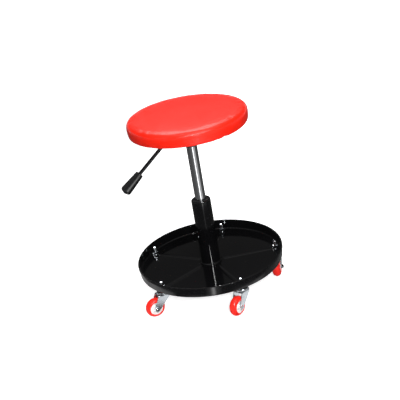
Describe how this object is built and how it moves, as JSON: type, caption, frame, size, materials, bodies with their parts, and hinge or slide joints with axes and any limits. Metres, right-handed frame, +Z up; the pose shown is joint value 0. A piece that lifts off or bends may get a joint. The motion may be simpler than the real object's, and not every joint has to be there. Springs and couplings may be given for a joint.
{
  "type": "creeper seat",
  "caption": "Round padded seat on a height-adjustable gas lift with a release lever, over a round steel tool tray on swivel castors.",
  "frame": {"origin": "on the column's axis, at the floor that the wheels stand on", "axes": "+Z up along the column; -Y towards the front of the tray, between the two front castors; the release lever lies near -X"},
  "size_m": [0.3824, 0.3946, 0.4825],
  "materials": {
    "tray_paint": "gloss black",
    "plate_paint": "satin black",
    "lift_chrome": "polished",
    "bright_steel": "turned",
    "zinc_plate": "bright zinc",
    "valve_metal": "turned",
    "black_rubber": "matte",
    "bush_plastic": "moulded",
    "slip_plastic": "moulded",
    "core_plastic": "moulded",
    "grip_plastic": "moulded",
    "tread_rubber": "semi-gloss",
    "seat_vinyl": "soft sheen",
    "seat_foam": "open cell",
    "board_ply": "sawn"
  },
  "bodies": {
    "base": {"tray": "tray_paint", "column_tube": "tray_paint", "column_end_plate": "bright_steel", "column_weld_ring": "tray_paint", "tray_hub_plate": "tray_paint", "guide_bush": "bush_plastic", "lower_thrust_washer": "bright_steel", "castor_stems": "zinc_plate", "castor_cups": "zinc_plate", "castor_nuts": "zinc_plate", "castor_washers": "zinc_plate"},
    "gas_rod": {"piston_rod": "bright_steel", "piston": "valve_metal", "piston_ring": "black_rubber", "rod_clip": "bright_steel", "thrust_ring": "slip_plastic", "upper_thrust_washer": "bright_steel", "lift_buffer": "black_rubber"},
    "seat": {"gas_cylinder": "lift_chrome", "rod_guide": "valve_metal", "rod_seal": "black_rubber", "pressure_tube": "bright_steel", "valve_body": "valve_metal", "seat_plate": "plate_paint", "taper_socket": "plate_paint", "seat_bolts": "zinc_plate", "tee_nuts": "zinc_plate", "lever_bracket": "plate_paint", "lever_pin": "zinc_plate", "seat_board": "board_ply", "seat_foam": "seat_foam", "seat_cover": "seat_vinyl"},
    "release_lever": {"lever_rod": "plate_paint", "lever_grip": "grip_plastic"},
    "release_pin": {"valve_pin": "bright_steel"},
    "castor_right": {"castor_fork_right": "zinc_plate", "castor_axle_right": "zinc_plate", "castor_sleeve_right": "bright_steel"},
    "wheel_right": {"castor_core_right": "core_plastic", "castor_tread_right": "tread_rubber"},
    "castor_back": {"castor_fork_back": "zinc_plate", "castor_axle_back": "zinc_plate", "castor_sleeve_back": "bright_steel"},
    "wheel_back": {"castor_core_back": "core_plastic", "castor_tread_back": "tread_rubber"},
    "castor_left": {"castor_fork_left": "zinc_plate", "castor_axle_left": "zinc_plate", "castor_sleeve_left": "bright_steel"},
    "wheel_left": {"castor_core_left": "core_plastic", "castor_tread_left": "tread_rubber"},
    "castor_front_left": {"castor_fork_front_left": "zinc_plate", "castor_axle_front_left": "zinc_plate", "castor_sleeve_front_left": "bright_steel"},
    "wheel_front_left": {"castor_core_front_left": "core_plastic", "castor_tread_front_left": "tread_rubber"},
    "castor_front_right": {"castor_fork_front_right": "zinc_plate", "castor_axle_front_right": "zinc_plate", "castor_sleeve_front_right": "bright_steel"},
    "wheel_front_right": {"castor_core_front_right": "core_plastic", "castor_tread_front_right": "tread_rubber"}
  },
  "joints": [
    {"name": "seat_swivel", "type": "hinge", "parent": "base", "child": "gas_rod", "pos_m": [0, 0, 0.248], "axis": [0, 0, 1], "continuous": true},
    {"name": "seat_lift", "type": "slide", "parent": "gas_rod", "child": "seat", "axis": [0, 0, 1], "range_m": [-0.12, 0]},
    {"name": "lever_lift", "type": "hinge", "parent": "seat", "child": "release_lever", "pos_m": [-0.02659, -0.00469, 0.4376], "axis": [-0.1736, 0.9848, 0], "range_deg": [0, 6], "stiffness_Nm_per_rad": 4, "springref_deg": -6.88},
    {"name": "pin_press", "type": "slide", "parent": "seat", "child": "release_pin", "axis": [0, 0, 1], "range_m": [-0.00285, 0]},
    {"name": "castor_swivel_right", "type": "hinge", "parent": "base", "child": "castor_right", "pos_m": [0.17319, 0.01029, 0.0588], "axis": [0, 0, 1], "continuous": true},
    {"name": "wheel_roll_right", "type": "hinge", "parent": "castor_right", "child": "wheel_right", "pos_m": [0.16752, -0.01641, 0.0254], "axis": [0.9781, -0.2079, 0], "continuous": true},
    {"name": "castor_swivel_back", "type": "hinge", "parent": "base", "child": "castor_back", "pos_m": [0.04373, 0.1679, 0.0588], "axis": [0, 0, 1], "continuous": true},
    {"name": "wheel_roll_back", "type": "hinge", "parent": "castor_back", "child": "wheel_back", "pos_m": [0.03351, 0.14258, 0.0254], "axis": [0.9272, -0.3746, 0], "continuous": true},
    {"name": "castor_swivel_left", "type": "hinge", "parent": "base", "child": "castor_left", "pos_m": [-0.14616, 0.09348, 0.0588], "axis": [0, 0, 1], "continuous": true},
    {"name": "wheel_roll_left", "type": "hinge", "parent": "castor_left", "child": "wheel_left", "pos_m": [-0.15982, 0.06983, 0.0254], "axis": [0.866, -0.5, 0], "continuous": true},
    {"name": "castor_swivel_front_left", "type": "hinge", "parent": "base", "child": "castor_front_left", "pos_m": [-0.13407, -0.11013, 0.0588], "axis": [0, 0, 1], "continuous": true},
    {"name": "wheel_roll_front_left", "type": "hinge", "parent": "castor_front_left", "child": "wheel_front_left", "pos_m": [-0.15976, -0.11937, 0.0254], "axis": [0.3387, -0.9409, 0], "continuous": true},
    {"name": "castor_swivel_front_right", "type": "hinge", "parent": "base", "child": "castor_front_right", "pos_m": [0.06331, -0.16154, 0.0588], "axis": [0, 0, 1], "continuous": true},
    {"name": "wheel_roll_front_right", "type": "hinge", "parent": "castor_front_right", "child": "wheel_front_right", "pos_m": [0.04486, -0.18167, 0.0254], "axis": [0.7373, -0.6756, 0], "continuous": true}
  ],
  "couplings": [
    {"joint": "pin_press", "follows": "lever_lift", "m_per_rad": -0.027}
  ]
}
